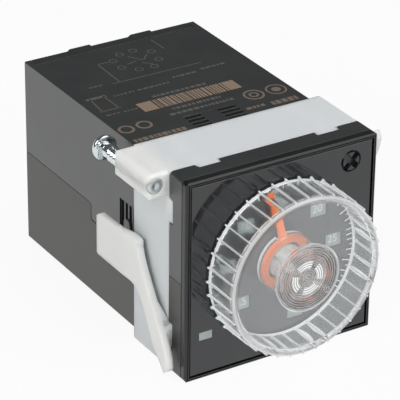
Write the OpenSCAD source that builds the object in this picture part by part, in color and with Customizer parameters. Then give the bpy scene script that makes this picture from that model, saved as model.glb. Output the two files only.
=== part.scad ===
// Plug-in time relay for a 48 mm square panel place, with its clip-on mounting bracket.
// All sizes are in millimetres. The origin is the centre of the flange's rear face,
// the front looks along -Y, the top is +Z and the plug pins point along +Y.

/* [Piece] */
// Piece to draw, or all of them

/* [Case] */
// Outside of the square body behind the panel
body_size = 45; // [44.6:0.1:45.2]
// How far the square flange and the front frame stand out beyond the body
flange_step = 1.5; // [1.4:0.05:1.6]
// Depth of the flange that belongs to the two case halves
flange_depth = 4.9; // [4.7:0.1:5.3]
// Depth of the separate front frame
frame_depth = 2; // [1.8:0.1:2.4]
// Radius of the frame's rounded front edges
frame_round = 0.7; // [0.4:0.1:1.2]
// Radius of the front's four corners
corner_round = 1; // [0.8:0.1:1.6]
// Distance from the flange's rear face to the body's rear face
body_length = 66; // [64:0.5:70]
// Thickness of the case walls
case_wall = 1.6; // [1.4:0.1:1.8]
// Thickness of the plug plate that closes the rear
plate_thickness = 2.8; // [2.4:0.1:3.4]
// Width of the dark joint line between the case halves
seam_width = 0.12; // [0.08:0.02:0.2]
// Width of the dark joint line between the flange and the front frame
frame_gap = 0.25; // [0.15:0.05:0.35]

/* [Flange notches] */
// Distance from the middle of a side to the near flank of a notch
notch_near = 12; // [11:0.5:13]
// Distance from the middle of a side to the far flank of a notch
notch_far = 17.9; // [17.4:0.1:18.4]
// Depth of the notches into the flange
notch_depth = 1.45; // [1.3:0.05:1.6]

/* [Ratchets] */
// Number of slots in each ratchet
slot_count = 12; // [8:1:13]
// Distance from one slot to the next
slot_pitch = 1.65; // [1.55:0.05:1.7]
// Width of one slot
slot_width = 1; // [0.8:0.05:1.05]
// Position of the rearmost slot
slot_rear = 22.5; // [22:0.1:23.5]
// Depth of the recess round the side ratchet
recess_depth = 0.4; // [0.3:0.05:0.6]

/* [Snap tongues] */
// Length of the upper half's tongue over the lower half
tongue_length = 10; // [8:0.5:12]
// Height of the tongue
tongue_height = 4.05; // [3.5:0.05:5]
// Gap round the tongue
tongue_gap = 0.25; // [0.1:0.05:0.3]

/* [Mounting bracket] */
// Wall of the bracket's square band
band_wall = 1; // [0.9:0.05:1]
// Rear edge of the band
band_rear = 14.6; // [13.8:0.1:15]
// Length of the tongues that reach into the flange notches
key_length = 1.25; // [1.1:0.05:1.3]
// Sideways reach of a screw lug beyond the band
lug_reach = 5.2; // [4.9:0.1:5.6]
// Height of a screw lug
lug_height = 6; // [5.6:0.1:6.4]
// Thickness of a lever's bowed arm
arm_thickness = 1.8; // [1.6:0.1:2.2]
// Distance of the lever's arm from the band's side
arm_offset = 1.2; // [0.8:0.1:1.3]

/* [Clamp screws] */
// Radius of the clamp screws
screw_r = 1.8; // [1.6:0.05:1.85]
// Length of the shank under the head
screw_length = 17.6; // [17:0.2:20]
// Length of the shank that shows behind the lug
screw_out = 6.7; // [5:0.1:6.7]
// Radius of the screw head
head_r = 2.9; // [2.7:0.1:3.1]
// Height of the screw head
head_height = 2; // [1.8:0.1:2.2]

/* [Knob] */
// Outside radius of the knob's wall
knob_r = 18.7; // [18:0.1:19]
// Distance from the flange's rear face to the knob's front face
knob_front = 16.93; // [16.5:0.01:18]
// Gap between the knob's rim and the front frame
knob_gap = 0.4; // [0.3:0.05:0.8]
// Wall thickness of the knob
knob_wall = 1.2; // [1:0.1:1.4]
// Thickness of the knob's front disc
knob_disc = 1.7; // [1.4:0.1:2]
// Number of grip ribs
rib_count = 36; // [24:1:40]
// Height of a rib over the knob's wall
rib_height = 0.45; // [0.3:0.05:0.6]
// Height of the spike at a rib's rear end
spike_height = 0.65; // [0.5:0.05:0.8]
// Width of a rib
rib_width = 0.35; // [0.3:0.05:0.6]
// Radius of the hub where it meets the front disc
hub_r = 7.74; // [7.4:0.02:8]
// Number of rings turned in the front of the hub
ring_count = 13; // [8:1:13]
// Radius of the slotted boss that grips the shaft
hub_boss_r = 3.6; // [3.2:0.1:4]
// Width of the four slots in the boss
boss_slot = 0.9; // [0.6:0.1:1.2]

/* [Pointer] */
// Angle of the pointer, clockwise from the top
pointer_angle = -12.8; // [-20:0.1:20]
// Radius of the pointer's tip
pointer_tip = 17; // [16:0.1:17]

/* [Dial] */
// Radius of the centres of the number windows
window_r = 13; // [12.6:0.1:13.2]
// Width of a number window
window_width = 4.3; // [3.6:0.1:4.5]
// Height of a number window
window_height = 3.4; // [2.6:0.1:3.6]
// Angle from one number to the next
window_step = 42.3; // [41:0.1:43]

/* [Selector] */
// Direction from the knob's axis to the selector, counted up from the side
selector_angle = 47.5; // [46:0.5:49]
// Radius of the selector's head
selector_r = 2.1; // [2:0.1:2.3]
// Width of the selector's crossed slots
selector_slot = 1.35; // [1:0.05:1.5]

/* [Plug] */
// Radius of a plug pin
pin_r = 1.18; // [1.14:0.01:1.2]
// Length of the plug pins behind the body
pin_length = 11; // [10:0.5:12]
// Diameter of the circle through the pins
pin_circle = 17.45; // [17.3:0.05:17.6]
// Length of the key post behind the body
post_length = 13.5; // [12.5:0.5:15]

/* [Hidden] */

flange_size = body_size + 2 * flange_step;
flange_half = flange_size / 2;
body_half = body_size / 2;
front_y = -flange_depth - frame_depth;
plate_y = body_length - plate_thickness;
inner_half = body_half - case_wall;
flange_inner = flange_half - 1;
floor_y = -2.2;
body_round = 0.25;
frame_seam_depth = 0.35;

fascia_half = flange_half - 1.25;
fascia_edge = 0.2;
fascia_front = front_y + 0.15;
fascia_rear = fascia_front + 1.2;
ledge_half = flange_half - 2;
fascia_groove = flange_half - 1;
front_groove = flange_half - 0.55;
groove_width = 0.2;
groove_depth = 0.3;
window_count = 7;
lamp_x = -(fascia_half - 3.85);
lamp_z = -(fascia_half - 9.3);
lamp_width = 3.2;
lamp_height = 1.9;
unit_angle = 166;
unit_r = 14.6;

turn_clearance = 0.05;
slide_clearance = 0.12;
fit_gap = 0.1;

board_thickness = 1.2;
board_front = floor_y - board_thickness;
boss_r = 4.5;
boss_rear = board_front - fit_gap;
disc_front = -4.75;
disc_rear = -3.55;

disc_face = fascia_front + 0.6;
band_in = window_r - 2.6;
band_out = window_r + 3.4;

disc_teeth = 88;
pinion_teeth = 14;
pressure_angle = 20;
tooth_clearance = 0.1;
disc_pitch = flange_inner - 1;
gear_module = 2 * disc_pitch / disc_teeth;
pinion_pitch = gear_module * pinion_teeth / 2;
selector_x = (disc_pitch + pinion_pitch) * cos(selector_angle);
selector_z = (disc_pitch + pinion_pitch) * sin(selector_angle);
selector_gap = 0.4;
axle_r = 1.2;

knob_rear = -front_y + knob_gap;
shaft_r = 2;
shaft_flat = 1.5;
hub_inner = 6;
hub_rear_r = hub_r - 0.74;
hub_boss_rear = 8.6;
core_rear = hub_boss_rear + 3;
knob_chamfer = 0.55;
ring_pitch = (hub_r - 0.5) / 13;
pointer_rear = knob_rear + 0.7;
arm_depth = 0.6;
ring_depth = 1.2;
pointer_ring = hub_inner - 1.8;

main_board_x = -(inner_half - 7.7);
main_board_t = 1.6;
main_board_half = inner_half - 1.5;
board_face = main_board_x + main_board_t / 2;
base_board_y = body_length - 9;
base_board_r = pin_circle / 2 + 6.3;
post_place = (base_board_r - 2.4) * cos(45);
plate_half = inner_half - fit_gap;
stand_r = 1.8;
tab_places = [-11.6, 4.5];
pin_shank = 0.9;
base_board_t = 1.6;
pot_r = 8.2;
pot_length = 4.8;
relay_length = 24;
relay_width = 12.8;
relay_height = 15.2;
coil_length = 14;
coil_width = 12.5;
coil_height = 12;
capacitor_r = 5;
capacitor_length = 14.8;
chip_length = 11;
chip_width = 4;
lead_pitch = 1.27;
chip_height = 1.7;
chip_y = 30;
chip_z = main_board_half - 10.4;
lead_size = 0.5;
connector_length = 8;
connector_height = 3.8;
connector_low = flange_inner - 13.5;
connector_rear = 5;

lug_x = -(flange_half + lug_reach - 2.2);
lug_z = flange_half - lug_height / 2;
band_front = 0.15;
band_corner = 1.2;
lug_round = 1.5;
head_under = band_rear + screw_out;
thread_clearance = 0.05;

lever_top = 4.4;
lever_bottom = -5.1;
lever_end = 23.3;
arm_inner = -(flange_half + arm_offset);
pawl_near = 10.3;
pawl_low = 0.9;
pawl_high = 3;
root_low = -19.5;
root_high = -12.6;

// A drawing in X and Z, extruded from y0 to y1
module along_y(y0, y1) {
    translate([0, y1, 0]) rotate([90, 0, 0]) linear_extrude(y1 - y0) children();
}

// A drawing in Y and Z, extruded from x0 to x1
module along_x(x0, x1) {
    translate([x0, 0, 0]) rotate([90, 0, 90]) linear_extrude(x1 - x0) children();
}

// A box between two corners
module block(low, high) {
    translate(low) cube(high - low);
}

// A square with rounded corners
module round_square(half, r) {
    square([2 * half, 2 * (half - r)], center = true);
    square([2 * (half - r), 2 * half], center = true);
    for (x = [-1, 1], z = [-1, 1]) {
        translate([x * (half - r), z * (half - r)]) circle(r, $fn = 32);
    }
}

// A round bar along Y
module rod(x, z, y0, y1, r, sides = 48) {
    translate([x, y1, z]) rotate([90, 0, 0]) cylinder(h = y1 - y0, r = r, $fn = sides);
}

// Points of a smooth curve from a to d, drawn towards b and c
function curve(a, b, c, d, steps) = [for (i = [0 : steps]) let (t = i / steps, s = 1 - t)
    s * s * s * a + 3 * s * s * t * b + 3 * s * t * t * c + t * t * t * d];

// Half of an involute tooth's angle at a given radius
function inv(angle) = tan(angle) * 180 / PI - angle;
function half_tooth(r, pitch_r, teeth) =
    let (base_r = pitch_r * cos(pressure_angle))
    90 / teeth - tooth_clearance / pitch_r * 90 / PI + inv(pressure_angle)
    - inv(r > base_r ? acos(base_r / r) : 0);

// Outline of a toothed wheel whose first tooth points at the start angle
function gear_points(teeth, root, tip, start) =
    let (pitch_r = gear_module * teeth / 2,
        base_r = pitch_r * cos(pressure_angle),
        radii = root < base_r ? [root, base_r, pitch_r, tip] : [root, pitch_r, tip],
        last = len(radii) - 1)
    [for (k = [0 : teeth - 1], side = [-1, 1], i = [0 : last])
        let (r = radii[side < 0 ? i : last - i],
            a = start + 360 * k / teeth + side * half_tooth(r, pitch_r, teeth))
        r * [cos(a), sin(a)]];

// The two case halves before they are split
module case_blank() {
    difference() {
        union() {
            along_y(-flange_depth, 0) round_square(flange_half, corner_round);
            along_y(-flange_depth / 2, body_length) round_square(body_half, body_round);
        }
        along_y(-flange_depth - 1, floor_y) square(2 * flange_inner, center = true);
        along_y(floor_y - 1, body_length + 1) square(2 * inner_half, center = true);
        along_y(plate_y, body_length + 1) square([2 * inner_half, 2 * body_size], center = true);
        for (turn = [0 : 90 : 270], side = [-1, 1]) rotate([0, turn, 0]) flange_notch(side);
        for (turn = [0, 180]) rotate([0, turn, 0]) {
            side_ratchet();
            ratchet_slots([-6.6, inner_half - 1], [-2.5, body_half + 1]);
            ratchet_slots([1.8, inner_half - 1], [6.5, body_half + 1]);
            block([-6.6, slot_rear + 0.75, body_half - 0.2], [1.5, slot_rear + 0.9, body_half + 1]);
        }
    }
    for (side = [-1, 1], rib = [-1, 1]) board_guide(side, rib);
}

// A notch in the flange's rear edge with a slanted outer flank
module flange_notch(side) {
    along_z_notch = [[notch_near, -notch_depth], [notch_far - 0.3, -notch_depth],
        [notch_far + 0.4, 1], [notch_near, 1]];
    translate([0, 0, body_half]) linear_extrude(flange_half)
        polygon([for (p = along_z_notch) [side * p[0], p[1]]]);
}

// A row of narrow slots through the case wall
module ratchet_slots(low, high) {
    for (i = [0 : slot_count - 1]) {
        y = slot_rear - i * slot_pitch;
        block([low[0], y - slot_width / 2, low[1]], [high[0], y + slot_width / 2, high[1]]);
    }
}

// The recess of the side ratchet, which leaves a round-ended pad flush with the wall
module side_ratchet() {
    pad_y = slot_rear - 2.25;
    difference() {
        union() {
            ratchet_slots([-body_half - 1, 0.5], [-inner_half + 1, 7.1]);
            block([-body_half - 1, slot_rear - slot_count * slot_pitch, 0.2],
                [-body_half + recess_depth, slot_rear + 0.7, 7.1]);
        }
        along_x(-body_half - 1, -inner_half + 1) {
            translate([pad_y, 1.7]) circle(1.3, $fn = 32);
            translate([pad_y - 1.3, 0]) square([2.6, 1.7]);
        }
    }
}

// One of the ribs that hold the main board upright
module board_guide(side, rib) {
    rib_x = main_board_x + rib * (main_board_t / 2 + fit_gap + 0.5);
    z_out = side * (inner_half + 0.2);
    z_in = side * (main_board_half - 1);
    block([rib_x - 0.5, 2, min(z_out, z_in)], [rib_x + 0.5, base_board_y - 1, max(z_out, z_in)]);
}

// Side view of the space that belongs to the upper half, with its snap tongue
module upper_region(gap) {
    tongue_rear = 35.8 + gap;
    tongue_front = tongue_rear - tongue_length - 2 * gap;
    foot = -tongue_height - gap;
    polygon(concat(
        [[-flange_depth - 1, flange_size], [-flange_depth - 1, -0.5], [0, -0.5], [0, 0],
            [tongue_front, 0], [tongue_front, foot], [tongue_rear - 0.8, foot]],
        [for (a = [-60 : 30 : 0]) [tongue_rear - 0.8 + 0.8 * cos(a), foot + 0.8 + 0.8 * sin(a)]],
        [for (a = [180 : -30 : 90]) [tongue_rear + 0.6 + 0.6 * cos(a), -0.6 + 0.6 * sin(a)]],
        [[body_length + 1, 0], [body_length + 1, flange_size]]));
}

module upper_shell() {
    color("#3a3d3e") intersection() {
        case_blank();
        along_x(-flange_size, flange_size) upper_region(0);
    }
}

module lower_shell() {
    color("#4a4a46") difference() {
        case_blank();
        along_x(-flange_size, flange_size) upper_region(tongue_gap);
        block([-flange_size, 0, 0], [flange_size, body_length + 1, flange_size]);
        block([-flange_size, -flange_depth - 1, -0.5], [flange_size, 0, flange_size]);
        for (side = [-1, 1]) {
            x0 = side * (body_half - 0.2);
            block([min(x0, side * 30), 0.01, -seam_width], [max(x0, side * 30), body_length + 1, 1]);
            x1 = side * (flange_half - 0.2);
            block([min(x1, side * 30), -flange_depth - 1, -0.5 - seam_width],
                [max(x1, side * 30), 0, 1]);
        }
    }
}

module rear_base() {
    color("#35383a") difference() {
        union() {
            block([-plate_half, plate_y + seam_width, -body_half],
                [plate_half, body_length, body_half]);
            block([-plate_half, plate_y, 0.2 - body_half], [plate_half, plate_y + 1, body_half - 0.2]);
            along_y(plate_y - 2.5, plate_y + 0.5) difference() {
                round_square(plate_half, body_round);
                square(2 * (inner_half - 1.4), center = true);
            }
            for (x = tab_places) rear_tab(x);
            for (x = [-post_place, post_place], z = [-post_place, post_place]) {
                rod(x, z, base_board_y + base_board_t, plate_y + 0.5, stand_r, 32);
            }
            key_post();
        }
        for (place = pin_places()) rod(place[0], place[1], plate_y - 1, body_length + 1, pin_shank, 32);
    }
}

// A wedge on the plate's top edge that rises towards the rear
module rear_tab(x) {
    intersection() {
        along_y(plate_y, body_length) polygon([[x, body_half - 0.1], [x + 0.75, body_half + 0.45],
            [x + 5.9, body_half + 0.45], [x + 6.65, body_half - 0.1]]);
        along_x(x - 1, x + 8) polygon([[plate_y + 0.2, body_half - 0.1],
            [body_length - 0.3, body_half + 0.45], [body_length, body_half + 0.45],
            [body_length, body_half - 0.2], [plate_y + 0.2, body_half - 0.2]]);
    }
}

// The post that finds the socket's keyway
module key_post() {
    post_r = 3.9;
    rod(0, 0, plate_y + 1, body_length + post_length - 1, post_r);
    translate([0, body_length + post_length, 0]) rotate([90, 0, 0])
        cylinder(h = 1, r1 = post_r - 0.6, r2 = post_r, $fn = 48);
    block([-0.9, body_length - 1, -post_r - 1.1], [0.9, body_length + post_length - 1.5, 0]);
}

// Centres of the plug pins, with the key between the two lowest
function pin_places() = [for (i = [0 : 7]) pin_circle / 2 * [sin(22.5 + 45 * i), cos(22.5 + 45 * i)]];

module contact_pins() {
    color("#c9cbc6") for (place = pin_places()) translate([place[0], 0, place[1]]) {
        rod(0, 0, base_board_y - 0.6, body_length, pin_shank, 32);
        rod(0, 0, body_length, body_length + pin_length - 0.8, pin_r, 32);
        translate([0, body_length + pin_length, 0]) rotate([90, 0, 0])
            cylinder(h = 0.8, r1 = pin_r - 0.5, r2 = pin_r, $fn = 32);
    }
}

// Side outline of the front frame with rounded front corners
module frame_outline() {
    translate([front_y + frame_round, -flange_half])
        square([frame_depth - frame_round - frame_gap, flange_size]);
    translate([front_y, -flange_half + frame_round])
        square([frame_depth - frame_gap, flange_size - 2 * frame_round]);
    for (z = [-1, 1]) translate([front_y + frame_round, z * (flange_half - frame_round)])
        circle(frame_round, $fn = 32);
}

module front_frame() {
    color("#2c2f30") difference() {
        union() {
            intersection() {
                along_x(-flange_size, flange_size) frame_outline();
                rotate([0, 90, 0]) along_x(-flange_size, flange_size) frame_outline();
                along_y(front_y - 1, 0) round_square(flange_half, corner_round);
            }
            along_y(-flange_depth - 0.5, -flange_depth)
                round_square(flange_half - frame_seam_depth, corner_round);
            for (x = [-1, 1], z = [-1, 1]) frame_lip(x, z);
        }
        along_y(front_y - 1, fascia_rear) square(2 * fascia_groove, center = true);
        along_y(fascia_rear - 1, 0.5 - flange_depth) square(2 * ledge_half, center = true);
        along_y(front_y - 1, front_y + groove_depth) difference() {
            square(2 * front_groove, center = true);
            square(2 * (front_groove - groove_width), center = true);
        }
    }
}

// A snap lip that reaches into the flange beside the number disc
module frame_lip(x, z) {
    x0 = x * ledge_half;
    x1 = x * (flange_inner - fit_gap);
    block([min(x0, x1), -flange_depth - 0.5, z > 0 ? 14.5 : -19.5],
        [max(x0, x1), board_front - 0.2, z > 0 ? 19.5 : -14.5]);
}

module fascia() {
    color("#4b5054") difference() {
        union() {
            intersection() {
                along_x(-flange_half, flange_half) fascia_outline();
                rotate([0, 90, 0]) along_x(-flange_half, flange_half) fascia_outline();
            }
            rod(0, 0, fascia_front + 0.5, boss_rear, boss_r, 64);
        }
        rod(0, 0, fascia_front - 1, 0, shaft_r + 0.6);
        for (i = [0 : window_count - 1]) {
            a = (i - (window_count - 1) / 2) * window_step;
            window_cut(window_r * sin(a), window_r * cos(a), window_width, window_height);
        }
        window_cut(unit_r * sin(unit_angle), unit_r * cos(unit_angle), window_width, 2.4);
        window_cut(lamp_x, lamp_z, lamp_width, lamp_height);
        rod(selector_x, selector_z, fascia_front - 1, 0, selector_r + selector_gap);
        along_y(fascia_front + 0.5, fascia_rear + 1) difference() {
            circle(band_out + 0.2, $fn = 96);
            circle(band_in - 0.2, $fn = 96);
        }
    }
}

// Side outline of the fascia with its small front chamfer
module fascia_outline() {
    polygon([[fascia_front, fascia_edge - fascia_half], [fascia_front + fascia_edge, -fascia_half],
        [fascia_rear, -fascia_half], [fascia_rear, fascia_half],
        [fascia_front + fascia_edge, fascia_half], [fascia_front, fascia_half - fascia_edge]]);
}

// A rectangular window through the fascia
module window_cut(x, z, width, height) {
    along_y(fascia_front - 1, fascia_rear + 1) translate([x, z]) square([width, height], center = true);
}

module light_guide() {
    color("#b9c4c0") {
        along_y(fascia_front, fascia_rear) translate([lamp_x, lamp_z])
            square([lamp_width, lamp_height], center = true);
        along_y(fascia_rear, fascia_rear + 0.35) translate([lamp_x, lamp_z])
            square([lamp_width + 0.8, lamp_height + 0.8], center = true);
        along_y(fascia_rear, -4.25) lamp_place();
    }
}

// Outline of the lamp, clear of the number disc
module lamp_place() {
    translate([lamp_x - lamp_width / 2, lamp_z - lamp_height / 2]) square([1.2, 1]);
}

module lamp() {
    color("#e8e4c8") along_y(-4.25, board_front) lamp_place();
}

module number_disc() {
    color("#c8cfd2") difference() {
        union() {
            along_y(disc_front, disc_rear) polygon(gear_points(disc_teeth,
                disc_pitch - 1.3 * gear_module, disc_pitch + 0.8 * gear_module, selector_angle));
            along_y(disc_face, disc_front + 0.1) difference() {
                circle(band_out, $fn = 96);
                circle(band_in, $fn = 96);
            }
        }
        rod(0, 0, disc_front - 1, disc_rear + 1, boss_r + turn_clearance, 64);
    }
}

module selector() {
    color("#1d1f20") translate([selector_x, 0, selector_z]) {
        difference() {
            rod(0, 0, fascia_front - 0.1, disc_front, selector_r);
            for (turn = [45, 135]) rotate([0, turn, 0])
                block([-selector_r - 1, fascia_front - 1, -selector_slot / 2],
                    [selector_r + 1, fascia_front + 1.5, selector_slot / 2]);
        }
        rod(0, 0, fascia_rear + 0.15, disc_front, selector_r + 0.6);
        along_y(disc_front, disc_rear)
            polygon(gear_points(pinion_teeth, pinion_pitch - 1.26 * gear_module,
                pinion_pitch + gear_module, selector_angle + 180 + 180 / pinion_teeth));
        rod(0, 0, disc_rear, 1, axle_r);
    }
}

// Cross-section of the knob: radius, then distance in front of the flange
function knob_profile() = concat(
    [[0, knob_front]],
    [for (i = [0 : ring_count - 1], p = [0, 1, 2])
        [0.25 + ring_pitch * (i + p / 3), knob_front - (p == 1 ? 0.25 : 0)]],
    [[hub_r - 0.2, knob_front], [hub_r, knob_front - 0.18], [hub_r + 0.2, knob_front],
        [knob_r - 0.1 - knob_chamfer, knob_front], [knob_r - 0.1, knob_front - knob_chamfer],
        [knob_r, knob_rear], [knob_r - knob_wall - 0.1, knob_rear],
        [knob_r - knob_wall - 0.1, knob_front - knob_disc - 0.3],
        [knob_r - knob_wall - 0.4, knob_front - knob_disc],
        [hub_r, knob_front - knob_disc], [hub_rear_r, knob_rear - 0.1],
        [hub_inner, knob_rear - 0.1], [hub_inner, knob_front - 1.4],
        [hub_boss_r, knob_front - 1.4], [hub_boss_r, hub_boss_rear],
        [shaft_r, hub_boss_rear], [shaft_r, core_rear], [0, core_rear]]);

module knob() {
    color("#dfe4e6", 0.35) {
        difference() {
            rotate([90, 0, 0]) rotate_extrude($fn = 144) polygon(knob_profile());
            rotate([0, pointer_angle, 0])
                block([-1.15, -pointer_rear - arm_depth - 0.1, hub_inner - 1],
                    [1.15, -knob_rear + 1, hub_r + 1]);
            for (turn = [45 : 90 : 315]) rotate([0, pointer_angle + turn, 0])
                block([-boss_slot / 2, -knob_front + 2.6, shaft_r - 0.3],
                    [boss_slot / 2, -hub_boss_rear + 1, hub_boss_r + 0.3]);
        }
        for (i = [0 : rib_count - 1]) rotate([0, i * 360 / rib_count, 0]) grip_rib();
        intersection() {
            rod(0, 0, -core_rear - 0.1, -hub_boss_rear, shaft_r + 0.1, 32);
            block([shaft_flat, -knob_front, -3], [3, 0, 3]);
        }
    }
}

// A grip rib that ends in a small spike at the knob's rim
module grip_rib() {
    rotate([0, -90, 0]) rotate([180, 0, 0]) linear_extrude(rib_width, center = true) polygon([
        [knob_r - 0.5, knob_rear], [knob_r + spike_height, knob_rear],
        [knob_r + spike_height, knob_rear + 0.35], [knob_r + rib_height, knob_rear + 1],
        [knob_r + rib_height - 0.1, knob_front - 0.75], [knob_r - 0.5, knob_front - 0.4]]);
}

module pointer() {
    color("#f0703c") {
        along_y(-pointer_rear - ring_depth, -pointer_rear) difference() {
            circle(hub_inner - 0.05, $fn = 64);
            circle(pointer_ring, $fn = 64);
        }
        along_y(-pointer_rear - arm_depth, -pointer_rear) rotate(-pointer_angle) polygon([
            [-0.95, hub_inner - 0.8], [0.95, hub_inner - 0.8], [0.55, pointer_tip - 0.3],
            [0.25, pointer_tip], [-0.25, pointer_tip], [-0.55, pointer_tip - 0.3]]);
    }
}

module pot_shaft() {
    color("#d9d9d4") difference() {
        rod(0, 0, 0.1 - core_rear, pot_length - 1.1, shaft_r);
        block([shaft_flat, -knob_front, -3], [3, -hub_boss_rear, 3]);
    }
}

module potentiometer() {
    color("#3f4a5a") difference() {
        union() {
            rod(0, 0, floor_y, pot_length, pot_r, 64);
            rod(0, 0, boss_rear, floor_y + 1, 3.4);
            for (x = [-5, 0, 5]) block([x - 0.5, floor_y, -12], [x + 0.5, floor_y + 0.5, -5]);
        }
        rod(0, 0, boss_rear - 1, pot_length - 1, shaft_r + turn_clearance);
    }
}

module front_board() {
    color("#2f6b45") difference() {
        along_y(board_front, floor_y) square(2 * (flange_inner - 0.4), center = true);
        rod(0, 0, board_front - 1, 0, 3.4 + fit_gap);
        rod(selector_x, selector_z, board_front - 1, 0, axle_r + 0.1);
    }
}

module range_switch() {
    color("#5a5e63") difference() {
        block([selector_x - 3.2, floor_y, selector_z - 4.8],
            [selector_x + 2.6, 2.2, inner_half - 0.3]);
        rod(selector_x, selector_z, floor_y - 1, 1.4, axle_r + turn_clearance);
    }
}

module main_board() {
    color("#2f6b45") along_x(main_board_x - main_board_t / 2, main_board_x + main_board_t / 2)
        translate([1, -main_board_half]) square([base_board_y - 1, 2 * main_board_half]);
}

module board_connector() {
    color("#20252a") block([board_face, floor_y, connector_low],
        [board_face + connector_height, connector_rear, connector_low + connector_length]);
}

module output_relay() {
    rear = base_board_y - 3;
    side = relay_width / 2;
    color("#d8dcd6") {
        block([board_face + 0.8, rear - relay_length, -side],
            [board_face + 0.8 + relay_height, rear, side]);
        for (y = [3, relay_length / 2, relay_length - 3], z = [2.4 - side, side - 2.4]) {
            block([board_face, rear - y - 0.4, z - 0.4], [board_face + 1, rear - y + 0.4, z + 0.4]);
        }
    }
}

module transformer() {
    low = 1 - main_board_half + 2.4;
    color("#7d7466") {
        block([board_face + 1, 7, low], [board_face + 1 + coil_height, 7 + coil_length, low + coil_width]);
        block([board_face, 9, low + 1.5],
            [board_face + coil_height + 2.5, 5 + coil_length, low + coil_width - 1.5]);
    }
}

module capacitor() {
    color("#2a3f66") translate([board_face, 9 + capacitor_r, 3.6]) rotate([0, 90, 0]) {
        cylinder(h = capacitor_length, r = capacitor_r, $fn = 48);
        translate([0, 0, capacitor_length])
            cylinder(h = 0.6, r1 = capacitor_r, r2 = capacitor_r - 0.6, $fn = 48);
    }
}

module timer_chip() {
    color("#26282a") {
        block([board_face + 0.3, chip_y, chip_z],
            [board_face + 0.3 + chip_height, chip_y + chip_length, chip_z + chip_width]);
        for (i = [0 : 7], z = [chip_z - 1, chip_z + chip_width]) {
            y = chip_y + 0.7 + i * lead_pitch;
            block([board_face, y, z], [board_face + 0.8, y + lead_size, z + 1]);
        }
    }
}

module base_board() {
    color("#2f6b45") difference() {
        rod(0, 0, base_board_y, base_board_y + base_board_t, base_board_r, 64);
        for (place = pin_places()) {
            rod(place[0], place[1], base_board_y - 1, base_board_y + 3, pin_shank, 32);
        }
    }
}

// A rectangle with rounded corners between two corners
module rounded_rect(low, high, r) {
    translate([low[0] + r, low[1]]) square([high[0] - low[0] - 2 * r, high[1] - low[1]]);
    translate([low[0], low[1] + r]) square([high[0] - low[0], high[1] - low[1] - 2 * r]);
    for (x = [low[0] + r, high[0] - r], y = [low[1] + r, high[1] - r]) {
        translate([x, y]) circle(r, $fn = 32);
    }
}

// The upper left screw lug, rounded on all its free edges
module lug() {
    out = -flange_half - lug_reach;
    into = 4 - flange_half;
    low = flange_half - lug_height;
    difference() {
        intersection() {
            along_y(band_front, band_rear) rounded_rect([out, low], [into, flange_half], lug_round);
            translate([0, 0, low]) linear_extrude(lug_height)
                rounded_rect([out, band_front + 0.15], [into, band_rear], lug_round);
            along_x(out, into) rounded_rect([band_front + 0.15, low], [band_rear, flange_half], 0.8);
        }
        block([0.8 - flange_half, 0, 0], [0, band_rear + 1, flange_size]);
    }
    block([-flange_half, band_front, flange_half - band_wall],
        [band_corner + 0.2 - flange_half, band_rear, flange_half]);
}

// Plan view of a lever: finger plate leaning outwards, and the arm beside the flange
module lever_plan() {
    polygon([[-flange_half - 4.3, lever_end], [-flange_half - 2.6, lever_end + 0.3],
        [-flange_half - 2.2, 15.1], [arm_inner, 11.5], [arm_inner, -6],
        [arm_inner - arm_thickness, -6], [arm_inner - arm_thickness, 10.5],
        [-flange_half - 3.4, 13.3]]);
}

// Side view of a lever: plate, bowed arm and foot
module lever_side() {
    polygon(concat(
        [[lever_end + 0.3, lever_top - 0.5], [lever_end + 0.3, lever_bottom + 0.6],
            [lever_end - 0.4, lever_bottom]],
        curve([11.2, -6.3], [5.2, -6.9], [5.5, -15.3], [-1.5, -20.7], 12),
        [[-2.5, -22], [-3, -22.3], [-3.8, -21.6]],
        curve([-4.1, -20.7], [-3.2, -13.4], [6.3, -4.6], [8.5, 2.6], 14),
        [[8.5, lever_top - 0.5], [9, lever_top], [lever_end - 0.7, lever_top + 0.5]]));
}

// The left lever, which springs from its root low on the band
module lever() {
    intersection() {
        translate([0, 0, -30]) linear_extrude(60) lever_plan();
        along_x(-flange_half - 9, -flange_half) lever_side();
    }
    intersection() {
        along_x(arm_inner - 0.5, 0.5 - flange_half) lever_side();
        union() {
            along_y(band_front, band_rear) polygon([[0.5 - flange_half, root_low],
                [0.5 - flange_half, root_high - 0.5], [arm_inner - 0.4, root_high + 6],
                [arm_inner - 0.5, root_low]]);
            block([-flange_size, -key_length, 0.4 - notch_far], [0, band_front + 0.1, root_high]);
        }
    }
    pawl();
}

// The pawl on the lever, which reaches through the band to the side ratchet
module pawl() {
    inside = band_wall - flange_half;
    translate([0, 0, pawl_low]) linear_extrude(pawl_high - pawl_low)
        polygon([[arm_inner - 0.4, pawl_near], [inside, pawl_near], [inside, band_rear],
            [-flange_half - 2.6, band_rear], [arm_inner - 0.8, pawl_near + 0.7]]);
    for (i = [5, 6, 7]) {
        y = slot_rear - i * slot_pitch;
        block([inside - 0.1, y - 0.3, pawl_low], [-body_half - slide_clearance, y + 0.3, pawl_high]);
    }
}

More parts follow.
